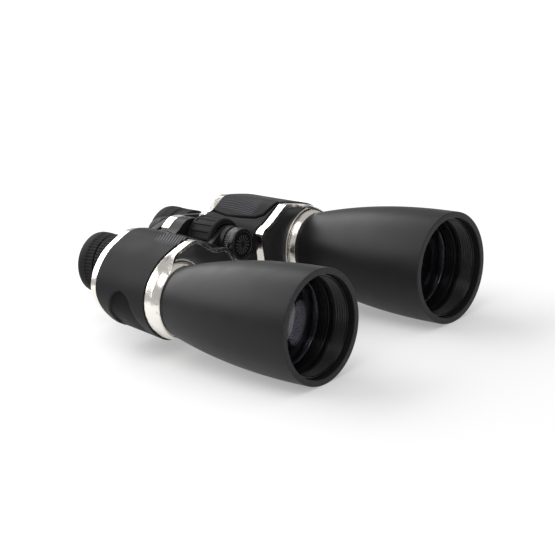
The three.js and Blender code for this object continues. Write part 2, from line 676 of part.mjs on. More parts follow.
const dioptreY = bridgeY + BRIDGE_THICKNESS + DIOPTRE_TRAVEL + RUN_GAP;
const collarY = leftArmY + BRIDGE_THICKNESS + SEAT_GAP;
piece('dioptre_ring', 'softRubber', ribbedRing(dioptreY, eyecupY - dioptreY - RUN_GAP,
  TUBE_RADIUS + RUN_GAP, COLLAR_RADIUS, RIB_COUNT, RIB_HEIGHT, -eyepieceX, EYEPIECE_RISE));
piece('left_eyepiece_collar', 'softRubber', ring(collarY, eyecupY - collarY - SEAT_GAP,
  TUBE_RADIUS + SEAT_GAP, COLLAR_RADIUS, eyepieceX, EYEPIECE_RISE));

piece('hinge_cap', 'satinBlack', hingeCap());
piece('tripod_bush', 'brass', onHinge(ring, pinFrontY, SOCKET_DEPTH, SOCKET_RADIUS, BUSH_RADIUS));
piece('front_hinge_pin', 'blackMetal', frontPin());
piece('hinge_ring', 'greyMetal',
  onHinge(ring, ringY, COLLAR_RING_DEPTH, PIN_RADIUS + SEAT_GAP, COLLAR_RING_RADIUS));
piece('left_front_lug', 'blackMetal',
  lug(1, leftFrontLugY, FRONT_LUG_DEPTH, FRONT_LUG_RADIUS, SHOULDER.z));
piece('right_front_lug', 'blackMetal',
  lug(-1, rightFrontLugY, FRONT_LUG_DEPTH, FRONT_LUG_RADIUS, SHOULDER.z));
piece('right_rear_lug', 'blackMetal', rightRearLug());
piece('left_rear_lug', 'blackMetal', leftRearLug());
piece('focus_wheel_core', 'blackMetal', wheelCore());
piece('focus_wheel_grip', 'softRubber', wheelGrip());
piece('focus_spindle', 'springSteel', spindle());
piece('right_bridge_arm', 'satinBlack', bridgeArm(-1, bridgeY));
piece('left_bridge_arm', 'satinBlack', bridgeArm(1, leftArmY));
piece('bridge_end_cap', 'blackMetal', endCap());

export default model;
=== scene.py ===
"""Porro-prism binoculars of the 60 mm class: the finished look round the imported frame.

Shapes are made in millimetres with y = 0 at the objective rims, z = 0 on the objective
axes and x = 0 on the hinge, and are put into the frame's place at the end.
"""

import math

import bmesh
import bpy
from mathutils import Matrix, Vector, kdtree


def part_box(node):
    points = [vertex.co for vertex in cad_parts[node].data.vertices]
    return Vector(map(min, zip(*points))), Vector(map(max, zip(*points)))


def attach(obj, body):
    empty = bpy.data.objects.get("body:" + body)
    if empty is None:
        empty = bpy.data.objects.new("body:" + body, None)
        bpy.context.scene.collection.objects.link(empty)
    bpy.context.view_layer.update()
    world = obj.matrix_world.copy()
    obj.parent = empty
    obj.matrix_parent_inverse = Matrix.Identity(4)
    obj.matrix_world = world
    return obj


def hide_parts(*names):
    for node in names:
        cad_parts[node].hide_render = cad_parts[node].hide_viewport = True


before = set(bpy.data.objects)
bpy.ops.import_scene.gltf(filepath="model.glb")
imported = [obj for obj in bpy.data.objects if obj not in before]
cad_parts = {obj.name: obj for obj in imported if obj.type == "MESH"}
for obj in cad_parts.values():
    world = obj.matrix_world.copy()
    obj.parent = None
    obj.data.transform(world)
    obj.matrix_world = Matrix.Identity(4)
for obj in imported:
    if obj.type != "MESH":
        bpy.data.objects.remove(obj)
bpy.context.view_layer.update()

# ------------------------------------------------------------------ places in the frame

MM = 0.001
rim_low, rim_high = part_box("left_barrel")
RIM_Y = rim_low.y
AXIS_Z = (rim_low.z + rim_high.z) / 2
TO_FRAME = Matrix.Translation((0, RIM_Y, AXIS_Z)) @ Matrix.Scale(MM, 4)


def middle(node):
    """The axis of a round node: x and z in millimetres."""
    low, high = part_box(node)
    return (low.x + high.x) / 2 / MM, ((low.z + high.z) / 2 - AXIS_Z) / MM


def span(node):
    """Where a node starts and ends along Y, in millimetres."""
    low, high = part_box(node)
    return (low.y - RIM_Y) / MM, (high.y - RIM_Y) / MM


BARREL_X = middle("left_barrel")[0]
EYE_X, EYE_Z = middle("left_eyecup")
HINGE_Z = middle("hinge_cap")[1]

# Stations along Y. The front trim's band is its last 6 mm, and the armour reaches 1.2 mm
# over the rear trim, whose band starts there.
TRIM_BACK = span("left_front_bezel")[1]
TRIM_FRONT = TRIM_BACK - 6
ARMOUR_FRONT, ARMOUR_BACK = span("left_armour")
REAR_FRONT, REAR_BACK = span("left_rear_trim")
BAND_START = REAR_FRONT + 1.2

# Bores round the eyepiece tubes, the hinge pins and the focus rod, and the pins' radius
TUBE_BORE = 12.3
PIN_BORE = 6.3
ROD_BORE = 3.3
PIN_RADIUS = 6

# Control points of each housing's section at its front and rear trims, anticlockwise from
# under the barrel. SHOULDER takes the place of as many points from SHOULDER_AT on, at the
# right half's front, where the trim swells towards the hinge. HUMP is the section of the
# hub behind the focus wheel.
LOOPS = {
    "left": ([
        (64.4, -26.0), (73.2, -23.4), (80.8, -17.0), (86.6, -9.3), (88.8, 0.1), (87.4, 8.7),
        (83.5, 16.1), (76.0, 22.9), (68.4, 26.2), (57.2, 29.6), (50.7, 31.2), (43.1, 33.4),
        (37.9, 29.7), (32.1, 26.7), (25.8, 23.1), (20.7, 22.5), (17.3, 18.9), (16.9, 13.1),
        (18.2, 3.9), (18.3, -4.8), (20.2, -14.8), (29.8, -20.1), (40.8, -20.6), (53.2, -23.6),
    ], [
        (63.6, -22.0), (71.0, -18.2), (78.3, -10.9), (83.9, -4.1), (87.3, 4.6), (86.6, 10.8),
        (83.5, 15.2), (77.5, 21.3), (71.6, 25.4), (62.3, 28.8), (54.3, 31.0), (44.7, 33.2),
        (37.1, 35.3), (31.3, 31.9), (24.8, 28.0), (16.5, 27.7), (14.6, 24.3), (14.9, 16.2),
        (17.1, 7.0), (17.6, -2.1), (20.7, -10.5), (28.8, -14.9), (41.2, -15.9), (52.6, -18.7),
    ]),
    "right": ([
        (64.4, -26.0), (73.2, -23.4), (80.8, -17.0), (86.6, -9.3), (88.8, 0.2), (87.4, 8.7),
        (83.5, 16.2), (76.1, 22.6), (68.3, 27.3), (57.5, 30.4), (49.8, 32.4), (43.3, 33.0),
        (37.8, 29.8), (32.1, 26.7), (25.8, 23.1), (20.7, 22.5), (17.3, 18.9), (16.9, 13.1),
        (18.2, 3.9), (18.3, -4.8), (20.2, -14.8), (29.8, -20.1), (40.8, -20.6), (53.2, -23.6),
    ], [
        (63.6, -22.0), (71.0, -18.2), (78.3, -10.9), (83.8, -4.2), (87.3, 4.7), (86.5, 10.4),
        (84.0, 16.8), (78.5, 23.2), (71.9, 28.3), (62.9, 31.6), (54.5, 34.9), (46.2, 34.6),
        (36.8, 32.5), (31.2, 29.8), (24.6, 27.1), (17.6, 26.0), (14.4, 24.7), (14.9, 16.1),
        (17.1, 7.0), (17.6, -2.1), (20.7, -10.4), (28.8, -14.9), (41.2, -15.9), (52.6, -18.7),
    ]),
}
SHOULDER_AT = 13
SHOULDER = [
    (32.1, 25.4), (25.6, 21.1), (18.3, 21.7), (12.6, 18.0), (9.0, 10.7), (10.2, 2.2),
    (15.6, -7.5),
]
HUMP = [
    (12.6, 17.7), (11.6, 23.5), (7.0, 28.0), (0.6, 30.2), (-4.5, 32.3), (-10.4, 33.0),
    (-15.6, 31.0), (-19.6, 27.6), (-25.0, 26.2), (-29.5, 25.0), (-29.5, 12.0),
    (-20.5, 8.0), (-10.0, 4.6), (0.5, 4.9), (9.0, 8.6),
]

# ------------------------------------------------------------------------ shape helpers

TURN = 2 * math.pi
ARC_STEP = 0.12


def share(value, low, high):
    """0 below low, 1 above high, and a smooth rise between them."""
    t = min(1.0, max(0.0, (value - low) / (high - low)))
    return t * t * (3 - 2 * t)


def lathe(profile, x, z, steps=96):
    """A turned solid along Y. The profile is (y, radius) pairs: a closed loop, or a line
    that starts and ends on the axis."""
    bm = bmesh.new()
    line = [bm.verts.new((x + r, y, z)) for y, r in profile]
    pairs = list(zip(line, line[1:]))
    if profile[0][1] > 0:
        pairs.append((line[-1], line[0]))
    edges = [bm.edges.new(pair) for pair in pairs]
    bmesh.ops.spin(bm, geom=line + edges, cent=(x, 0, z), axis=(0, 1, 0), angle=TURN,
                   steps=steps, use_merge=True)
    bmesh.ops.remove_doubles(bm, verts=bm.verts[:], dist=1e-4)
    bmesh.ops.recalc_face_normals(bm, faces=bm.faces[:])
    return bm


def ring(y0, y1, inner, outer, x, z, steps=96):
    """A plain tube along Y."""
    return lathe([(y0, inner), (y0, outer), (y1, outer), (y1, inner)], x, z, steps)


def soften(bm, width, segments=2, angle=30, end=math.inf):
    """Rounds the edges that are sharper than angle, as far along Y as end."""
    edges = [e for e in bm.edges if len(e.link_faces) == 2
             and e.calc_face_angle() > math.radians(angle)
             and (e.verts[0].co.y + e.verts[1].co.y) / 2 < end]
    bmesh.ops.bevel(bm, geom=edges, offset=width, offset_type="OFFSET", segments=segments,
                    profile=0.5, affect="EDGES", clamp_overlap=True, material=-1)
    return bm


def circle(bm, x, y, z, radius, steps):
    """A wire ring across Y, and its edges."""
    before = set(bm.edges)
    start = bm.verts.new((x + radius, y, z))
    bmesh.ops.spin(bm, geom=[start], cent=(x, y, z), axis=(0, -1, 0), angle=TURN,
                   steps=steps, use_merge=True)
    return [e for e in bm.edges if e not in before]


def edges_at(bm, y):
    """The edges that lie across Y at y."""
    return [e for e in bm.edges if all(abs(v.co.y - y) < 0.01 for v in e.verts)]


def belt(bm, circles):
    """A wire loop wrapped round (x, z, radius) circles listed anticlockwise."""
    leaving = []
    for i, (x, z, r) in enumerate(circles):
        nx, nz, nr = circles[(i + 1) % len(circles)]
        along = math.atan2(nz - z, nx - x)
        leaving.append(along - math.acos((r - nr) / math.hypot(nx - x, nz - z)))
    ends = []
    for i, (x, z, r) in enumerate(circles):
        start = leaving[i - 1]
        sweep = (leaving[i] - start) % TURN
        first = bm.verts.new((x + r * math.cos(start), 0, z + r * math.sin(start)))
        spun = bmesh.ops.spin(bm, geom=[first], cent=(x, 0, z), axis=(0, -1, 0), angle=sweep,
                              steps=max(2, round(sweep / ARC_STEP)), use_merge=False)
        ends.append((first, spun["geom_last"][0]))
    for i, (_, last) in enumerate(ends):
        bm.edges.new((last, ends[(i + 1) % len(ends)][0]))


def plate(bm, y0, depth):
    """Fills the wire loops, holes left open, and gives them depth along +Y from y0."""
    bmesh.ops.triangle_fill(bm, use_beauty=True, use_dissolve=False, edges=bm.edges[:],
                            normal=(0, -1, 0))
    grown = bmesh.ops.extrude_face_region(bm, geom=bm.faces[:] + bm.edges[:] + bm.verts[:])
    moved = [g for g in grown["geom"] if isinstance(g, bmesh.types.BMVert)]
    bmesh.ops.translate(bm, verts=moved, vec=(0, depth, 0))
    bmesh.ops.translate(bm, verts=bm.verts[:], vec=(0, y0, 0))
    bmesh.ops.recalc_face_normals(bm, faces=bm.faces[:])
    return bm


def link(y0, y1, circles, holes):
    """A flat plate from y0 to y1 wrapped round (x, z, radius) circles, with round holes
    given as (x, z, radius, steps)."""
    bm = bmesh.new()
    belt(bm, circles)
    for x, z, radius, steps in holes:
        circle(bm, x, 0, z, radius, steps)
    return plate(bm, y0, y1 - y0)


def subdivided(bm, levels):
    """The same shape after a Subdivision Surface."""
    mesh = bpy.data.meshes.new("cage")
    bm.to_mesh(mesh)
    bm.free()
    holder = bpy.data.objects.new("cage", mesh)
    bpy.context.scene.collection.objects.link(holder)
    smooth = holder.modifiers.new("smooth", "SUBSURF")
    smooth.levels = smooth.render_levels = levels
    shown = holder.evaluated_get(bpy.context.evaluated_depsgraph_get())
    out = bmesh.new()
    out.from_mesh(shown.to_mesh())
    shown.to_mesh_clear()
    bpy.data.objects.remove(holder)
    bpy.data.meshes.remove(mesh)
    return out


def skin(sections, levels):
    """An open tube, smoothed, through control loops given as (y, points)."""
    bm = bmesh.new()
    last = None
    for y, points in sections:
        verts = [bm.verts.new((x, y, z)) for x, z in points]
        loop = [bm.edges.new(pair) for pair in zip(verts, verts[1:] + verts[:1])]
        if last:
            bmesh.ops.bridge_loops(bm, edges=last + loop)
        last = loop
    bmesh.ops.recalc_face_normals(bm, faces=bm.faces[:])
    return subdivided(bm, levels)


def facing_out(bm):
    """Turns a skin's faces outwards."""
    lead = max(bm.faces, key=lambda f: f.calc_center_median().x)
    if lead.normal.x < 0:
        bmesh.ops.reverse_faces(bm, faces=bm.faces[:])
    bm.normal_update()
    return bm


def outward(v):
    """A skin's direction outwards across Y at one of its points."""
    return Vector((v.normal.x, 0, v.normal.z)).normalized()


def swell(bm, amount):
    """Moves a skin outwards across Y."""
    facing_out(bm)
    moves = [(v, outward(v)) for v in bm.verts]
    for v, out in moves:
        v.co += out * amount
    return bm


def walled(bm, thickness):
    """Gives a skin a wall on its inner side."""
    facing_out(bm)
    bmesh.ops.solidify(bm, geom=bm.faces[:], thickness=thickness)
    bmesh.ops.recalc_face_normals(bm, faces=bm.faces[:])
    return bm


def trimmed(bm, at, away):
    """Cuts a solid by a plane, drops what lies on the away side and closes the cut."""
    cut = bmesh.ops.bisect_plane(bm, geom=bm.verts[:] + bm.edges[:] + bm.faces[:], dist=1e-4,
                                 plane_co=at, plane_no=away, clear_outer=True)
    ends = [g for g in cut["geom_cut"] if isinstance(g, bmesh.types.BMEdge)]
    bmesh.ops.holes_fill(bm, edges=ends, sides=0)
    bmesh.ops.recalc_face_normals(bm, faces=bm.faces[:])
    return bm


def turned_over(bm, side):
    """The +X shape, or its mirror image at -X."""
    if side < 0:
        bmesh.ops.scale(bm, verts=bm.verts[:], vec=(-1, 1, 1))
        bmesh.ops.reverse_faces(bm, faces=bm.faces[:])
    return bm


def section(name, y, shoulder=False):
    """A housing's control loop at y, between its front and rear loops."""
    front, rear = LOOPS[name]
    if shoulder and name == "right":
        front = front[:SHOULDER_AT] + SHOULDER + front[SHOULDER_AT + len(SHOULDER):]
    t = min(1.0, max(0.0, (y - TRIM_BACK) / (REAR_BACK - TRIM_BACK)))
    return [(a * (1 - t) + c * t, b * (1 - t) + d * t) for (a, b), (c, d) in zip(front, rear)]


def ribs(bm, x, z, y0, y1, beyond, count, height, crest=0.55):
    """Cuts the outside of a turned piece, from y0 to y1 and further out than beyond, into
    axial ribs. crest is each rib's share of its pitch."""
    for v in bm.verts:
        out = Vector((v.co.x - x, 0, v.co.z - z))
        if y0 - 0.01 < v.co.y < y1 + 0.01 and out.length > beyond:
            phase = (math.atan2(out.z, out.x) / TURN * count) % 1.0
            lift = share(phase, 0.02, 0.2) * (1 - share(phase, crest + 0.02, crest + 0.2))
            v.co += out.normalized() * height * (lift - 1)
    return bm


def arc_line(y0, r0, y1, r1, bulge, steps):
    """Profile points from (y0, r0) to (y1, r1), bowed by bulge across the line."""
    dy, dr = y1 - y0, r1 - r0
    length = math.hypot(dy, dr)
    points = []
    for i in range(steps + 1):
        t = i / steps
        bow = 4 * t * (1 - t) * bulge
        points.append((y0 + dy * t - dr / length * bow, r0 + dr * t + dy / length * bow))
    return points


# ----------------------------------------------------------------------- shader helpers

# Centre and pitch of the fan of lines on the armour's crest, in metres
FAN_X, FAN_Y, FAN_PITCH = 0.062, 0.176, 0.0014


class Field:
    """A number on the surface. Arithmetic on it adds Math nodes."""

    def __init__(self, finish, socket):
        self.finish, self.socket = finish, socket

    def math(self, operation, *terms):
        return self.finish.node("ShaderNodeMath", {"operation": operation},
                                dict(enumerate(terms)))

    def sine(self):
        return self.math("SINE", self)

    def root(self):
        return self.math("SQRT", self)

    def __add__(self, other):
        return self.math("ADD", self, other)

    def __radd__(self, other):
        return self.math("ADD", other, self)

    def __sub__(self, other):
        return self.math("SUBTRACT", self, other)

    def __rsub__(self, other):
        return self.math("SUBTRACT", other, self)

    def __mul__(self, other):
        return self.math("MULTIPLY", self, other)

    def __rmul__(self, other):
        return self.math("MULTIPLY", other, self)


class Finish:
    """A material with one Principled shader, whose constant sockets are given by name with
    an underscore for each space."""

    def __init__(self, name, **constants):
        self.material = bpy.data.materials.new(name)
        self.material.use_nodes = True
        self.tree = self.material.node_tree
        self.shader = self.tree.nodes["Principled BSDF"]
        for socket, value in constants.items():
            self.shader.inputs[socket.replace("_", " ")].default_value = value
        self.place = self.node("ShaderNodeTexCoord", {}, {}, "Object")

    def node(self, kind, settings, inputs, output=0):
        """Adds a node: its settings first, then the values or links of its sockets."""
        made = self.tree.nodes.new(kind)
        for key, value in settings.items():
            setattr(made, key, value)
        for key, value in inputs.items():
            if isinstance(value, Field):
                self.tree.links.new(value.socket, made.inputs[key])
            else:
                made.inputs[key].default_value = value
        return Field(self, made.outputs[output])

    def feed(self, socket, field):
        self.tree.links.new(field.socket, self.shader.inputs[socket])

    def noise(self, scale, detail, rough=0.5):
        return self.node("ShaderNodeTexNoise", {"noise_dimensions": "3D"},
                         {"Vector": self.place, "Scale": scale, "Detail": detail,
                          "Roughness": rough}, "Fac")

    def blend(self, factor, first, second):
        """Mixes two colours."""
        return self.node("ShaderNodeMix", {"data_type": "RGBA"},
                         {0: factor, 6: first, 7: second}, 2)

    def remap(self, field, low, high, to_low, to_high):
        """Goes smoothly from to_low at low to to_high at high."""
        return self.node("ShaderNodeMapRange", {"interpolation_type": "SMOOTHSTEP"},
                         {"Value": field, "From Min": low, "From Max": high,
                          "To Min": to_low, "To Max": to_high})

    def between(self, field, start, full, fading, end):
        """1 from full to fading, and 0 before start and after end."""
        return (self.remap(field, start, full, 0.0, 1.0)
                * self.remap(field, fading, end, 1.0, 0.0))

    def axis(self, name):
        return self.node("ShaderNodeSeparateXYZ", {}, {0: self.place}, name)

    def bump(self, height, distance, strength, after=None):
        inputs = {"Height": height, "Distance": distance, "Strength": strength}
        if after:
            inputs["Normal"] = after
        return self.node("ShaderNodeBump", {}, inputs)


def grey(value):
    """A neutral black or grey with a trace of violet."""
    return (value, value * 0.97, value * 1.08, 1.0)


def black_lacquer(name, shade, rough, gloss, grain, grain_depth, painted_rim_highlight=False):
    """Satin black paint over metal: a fine grain, faint clouding and handling marks, and,
    when asked, a paler front edge that is a painted highlight along the rim, broken up by
    noise."""
    f = Finish(name, Metallic=0.0, IOR=1.5, Specular_IOR_Level=gloss)
    cloud = f.noise(55, 4)
    marks = f.remap(f.noise(420, 5, 0.65), 0.55, 0.8, 0.0, 1.0)
    colour = f.blend(cloud, grey(shade * 0.8), grey(shade * 1.25))
    if painted_rim_highlight:
        # Painted highlight: a paler band along the objective rim, patchy with noise
        edge = f.remap(f.axis("Y"), RIM_Y - 0.0001, RIM_Y + 0.0011, 1.0, 0.0)
        rim_glint = edge * f.remap(f.noise(900, 4), 0.35, 0.75, 0.25, 0.9)
        colour = f.blend(rim_glint, colour, grey(shade * 2.6))
    f.feed("Base Color", colour)
    f.feed("Roughness", f.remap(cloud, 0.2, 0.8, rough - 0.04, rough + 0.04) - marks * 0.05)
    f.feed("Normal", f.bump(f.noise(grain, 3), grain_depth, 0.6))
    return f.material


def chrome(name):
    """Bright plated plastic: slightly wavy and brushed, warm in places, with a few near-black
    flecks that are painted reflections of dark surroundings."""
    f = Finish(name, Metallic=1.0, IOR=1.5)
    smear = f.noise(90, 5, 0.6)
    # Painted reflection: near-black flecks in the plating's colour, standing in for dark
    # things mirrored in it; they are also rougher
    dull = f.remap(f.noise(170, 3, 0.55), 0.62, 0.7, 0.0, 0.45)
    colour = f.blend(smear, (0.80, 0.75, 0.68, 1), (0.96, 0.94, 0.90, 1))
    f.feed("Base Color", f.blend(dull, colour, (0.06, 0.058, 0.056, 1)))
    f.feed("Roughness", f.remap(smear, 0.3, 0.75, 0.12, 0.26) + dull * 0.1)
    wave = f.bump(f.noise(120, 3), 0.0009, 0.55)
    f.feed("Normal", f.bump(f.noise(700, 4, 0.6), 0.00012, 0.6, wave))
    return f.material


def rubber(name, shade, rough, grain, depth):
    """Moulded rubber with a matt pebble grain."""
    f = Finish(name, Metallic=0.0, IOR=1.45, Specular_IOR_Level=0.15)
    cloud = f.noise(70, 4)
    dust = f.remap(f.noise(1500, 4, 0.7), 0.6, 0.85, 0.0, 1.0)
    colour = f.blend(cloud, grey(shade * 0.85), grey(shade * 1.15))
    f.feed("Base Color", f.blend(dust * 0.3, colour, grey(shade * 2.0)))
    f.feed("Roughness", f.remap(cloud, 0.2, 0.8, rough - 0.05, rough + 0.05))
    f.feed("Normal", f.bump(f.noise(grain, 2), depth, 0.7))
    return f.material


def armour_rubber(name, shade, ridge_highlight, side, zone_x, zone_y):
    """The housing's rubber skin: pebble grain, with painted shade in the thumb recess and the
    groove, and fine moulded lines in a fan over part of the crest, painted pale as
    highlights. zone_x and zone_y bound the fan, in metres from the hinge and from the
    objective rims."""
    f = Finish(name, Metallic=0.0, IOR=1.45, Specular_IOR_Level=0.17)
    cloud = f.noise(60, 4)
    painted_shade = f.node("ShaderNodeAttribute", {"attribute_name": "painted_shade"}, {}, "Fac")
    x, y, z = f.axis("X") * side, f.axis("Y") - RIM_Y, f.axis("Z")
    across, along = x - FAN_X, y - FAN_Y
    line = ((across * across + along * along * 0.55).root() * (TURN / FAN_PITCH)).sine()
    zone = (f.remap(z, AXIS_Z + 0.026, AXIS_Z + 0.028, 0.0, 1.0)
            * f.between(x, zone_x[0], zone_x[0] + 0.002, zone_x[1] - 0.006, zone_x[1])
            * f.between(y, zone_y[0], zone_y[0] + 0.003, zone_y[1] - 0.006, zone_y[1]))
    ridge = f.remap(line, 0.1, 0.8, 0.0, 1.0) * zone
    colour = f.blend(cloud, grey(shade * 0.9), grey(shade * 1.12))
    # Painted highlight: the moulded lines are painted pale, as if they caught the light, each
    # half at its own brightness
    colour = f.blend(ridge, colour, grey(ridge_highlight))
    # Painted shade: the recess and groove go towards near black, and are made metallic with
    # that dark colour so that they reflect little
    f.feed("Base Color", f.blend(painted_shade * 0.85, colour, grey(shade * 0.15)))
    f.feed("Metallic", painted_shade * 0.85)
    f.feed("Roughness", f.remap(cloud, 0.2, 0.8, 0.44, 0.54) + painted_shade * 0.3)
    grain = f.bump(f.noise(2600, 2), 0.00006, 0.6)
    f.feed("Normal", f.bump(ridge, 0.0004, 1.0, grain))
    return f.material


def machined(name, colour, metallic, rough, pitch, gloss=0.25):
    """Turned metal: fine rings along Y, and a little tarnish."""
    f = Finish(name, Metallic=metallic, IOR=1.5, Specular_IOR_Level=gloss)
    cloud = f.noise(120, 4)
    dull = tuple(c * 0.75 for c in colour[:3]) + (1.0,)
    f.feed("Base Color", f.blend(cloud, dull, colour))
    f.feed("Roughness", f.remap(cloud, 0.25, 0.75, rough - 0.05, rough + 0.07))
    line = (f.axis("Y") * (TURN / pitch)).sine()
    f.feed("Normal", f.bump(line + f.noise(700, 2), pitch * 0.08, 0.5))
    return f.material


def glass(name, colour):
    """Coated optical glass with a trace of dust."""
    f = Finish(name, Metallic=0.0, IOR=1.52, Transmission_Weight=1.0)
    dust = f.remap(f.noise(700, 4, 0.7), 0.62, 0.9, 0.0, 1.0)
    paler = tuple(min(1.0, c * 1.15) for c in colour[:3]) + (1.0,)
    f.feed("Base Color", f.blend(f.noise(40, 2), colour, paler))
    f.feed("Roughness", 0.02 + dust * 0.05)
    return f.material


def sunburst(name, z, ray_count):
    """The hinge cap: glossy black, with fine pale rays round the hinge axis at height z."""
    f = Finish(name, Metallic=0.0, IOR=1.5, Specular_IOR_Level=0.3)
    across, up = f.axis("X"), f.axis("Z") - z
    angle = up.math("ARCTAN2", up, across)
    far = (across * across + up * up).root()
    rays = (f.remap((angle * ray_count).sine(), 0.45, 0.9, 0.0, 1.0)
            * f.between(far, 0.0016, 0.0024, 0.0058, 0.0066))
    cloud = f.noise(300, 4)
    f.feed("Base Color", f.blend(rays * f.remap(cloud, 0.3, 0.6, 0.5, 1.0), grey(0.006),
                                 grey(0.09)))
    f.feed("Roughness", f.remap(cloud, 0.3, 0.7, 0.2, 0.34))
    f.feed("Normal", f.bump(rays, 0.00012, 0.8))
    return f.material


FINISHES = {
    "satin_black": black_lacquer("satin_black_lacquer", 0.012, 0.42, 0.2, 2300, 0.00003),
    "plate_black": black_lacquer("plate_black_lacquer", 0.012, 0.36, 0.9, 2300, 0.00003),
    "barrel_black": black_lacquer("barrel_black_lacquer", 0.012, 0.42, 0.17, 1900, 0.00003,
                                  True),
    "gloss_black": machined("gloss_black_sleeve", (0.006, 0.006, 0.007, 1), 0.0, 0.15, 0.0006,
                            0.4),
    "dark_chrome": machined("dark_chrome", (0.10, 0.10, 0.105, 1), 1.0, 0.22, 0.0011),
    "bright_trim": chrome("bright_trim_plating"),
    "right_armour_rubber": armour_rubber("right_armour_rubber", 0.014, 0.16, -1,
                                         (0.024, 0.058), (0.112, 0.138)),
    "left_armour_rubber": armour_rubber("left_armour_rubber", 0.014, 0.08, 1,
                                        (0.027, 0.047), (0.128, 0.165)),
    "soft_rubber": rubber("eyecup_rubber", 0.012, 0.6, 2400, 0.00006),
    "black_metal": machined("black_metal", (0.012, 0.012, 0.013, 1), 0.0, 0.36, 0.0005),
    "brass": machined("turned_brass", (0.55, 0.4, 0.17, 1), 1.0, 0.3, 0.0005),
    "spring_steel": machined("spring_steel", (0.5, 0.51, 0.53, 1), 1.0, 0.33, 0.0005),
    "optical_glass": glass("coated_glass", (0.55, 0.54, 0.62, 1)),
    "prism_glass": glass("prism_glass", (0.85, 0.85, 0.9, 1)),
    "cap_face": sunburst("cap_sunburst", AXIS_Z + HINGE_Z * MM, 16),
}


def finished(bm, name, body, finish, slot, *nodes):
    """Puts a shape in the frame's place, on its CAD body and in place of nodes."""
    bm.transform(TO_FRAME)
    mesh = bpy.data.meshes.new(name)
    bm.to_mesh(mesh)
    bm.free()
    mesh.shade_smooth()
    mesh.materials.append(FINISHES[finish])
    piece = bpy.data.objects.new(name, mesh)
    bpy.context.scene.collection.objects.link(piece)
    even = piece.modifiers.new("even_shading", "WEIGHTED_NORMAL")
    even.keep_sharp = True
    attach(piece, body)
    if nodes:
        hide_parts(*nodes)


# -------------------------------------------------------------------- objective barrels

RIM_RADIUS = 35.1
ROOT_RADIUS = 21.8
HOOD_BORE = 31.2
BARREL_END = 107.0
BARREL_WALL = 2.4
NECK_END = span("left_barrel")[1]
NECK_RADIUS, NECK_BORE = 19, 17
THREAD_START, THREAD_PITCH, THREADS = 5.2, 0.9, 9


def barrel_radius(y):
    return RIM_RADIUS - (RIM_RADIUS - ROOT_RADIUS) * (y / BARREL_END) ** 2.2


def barrel(x):
    """Flared barrel with its neck and bore, rounded at the rim."""
    outside = [(BARREL_END * i / 28, barrel_radius(BARREL_END * i / 28)) for i in range(29)]
    neck = [(BARREL_END, NECK_RADIUS), (NECK_END, NECK_RADIUS), (NECK_END, NECK_BORE),
            (105, NECK_BORE)]
    inside = [(y, min(HOOD_BORE, barrel_radius(y) - BARREL_WALL)) for y in range(100, 34, -6)]
    mouth = [(8, HOOD_BORE), (0, HOOD_BORE)]
    return soften(lathe(outside + neck + inside + mouth, x, 0, 128), 0.55, 3, 50, 1)


def sleeve(x):
    """Blackened sleeve with a threaded front and a stepped seat for the lens."""
    y0, y1 = span("left_hood_sleeve")
    thread = []
    for i in range(THREADS):
        start = THREAD_START + i * THREAD_PITCH
        thread += [(start, 29.6), (start + 0.35, 30.2), (start + 0.7, 29.6)]
    steps = [(14, 29.7), (14, 28.8), (17.6, 28.8), (17.6, 28.3), (19.4, 28.3), (19.4, 28.7),
             (19.9, 28.7), (19.9, 28.3), (y1, 28.3)]
    profile = [(y0, 29.9)] + thread + steps + [(y1, 30.9), (y0, 30.9)]
    return soften(lathe(profile, x, 0, 112), 0.12, 1, 50)


def lens(front, back, radius, front_bulge, back_bulge, x, z, steps=96):
    """A round lens. A bulge is how far its middle stands out from its edge."""
    parts = 9
    face = [(front - front_bulge * (1 - (i / parts) ** 2), radius * i / parts)
            for i in range(parts + 1)]
    rear = [(back + back_bulge * (1 - (i / parts) ** 2), radius * i / parts)
            for i in range(parts, -1, -1)]
    return lathe(face + rear, x, z, steps)


# ------------------------------------------------------------------------------ trims

ROOT_FRONT = 107.3
PLATE_FACE = 112.8
PLATE_INSET = 2.5
DOME_REACH = 4
BAND_WALL = 2.2

# The front band's lip rolls in by LIP_ROLL over its first LIP_DEPTH. Round the barrel's axis
# it reaches forward over the root ring between these angles, in degrees, and is HOOD_RADIUS
# at the ring's front and HOOD_FLARE wider where the ring ends.
LIP_DEPTH, LIP_ROLL = 2.2, 1.5
REACH_RISE, REACH_FALL = (-112, -88), (62, 98)
HOOD_RADIUS, HOOD_FLARE = 22.6, 1.6


def root_ring(x):
    """Bright flared ring round the barrel root."""
    flare = arc_line(ROOT_FRONT + 0.5, 22.2, TRIM_FRONT + 0.2, 23.8, 0.35, 6)
    profile = [(ROOT_FRONT, 19.3), (ROOT_FRONT, 21.9)] + flare
    profile += [(PLATE_FACE, 23.8), (PLATE_FACE, 19.3)]
    return soften(lathe(profile, x, 0, 128), 0.2, 2, 40)


def plate_edge(side):
    """Thin bright line round the root ring, on the side towards the hinge only."""
    bm = ring(PLATE_FACE - 1.4, PLATE_FACE + 0.1, 24.4, 25.5, BARREL_X, 0, 128)
    trimmed(bm, (BARREL_X, 0, 0), (0.985, 0, -0.174))
    return soften(turned_over(bm, side), 0.3)


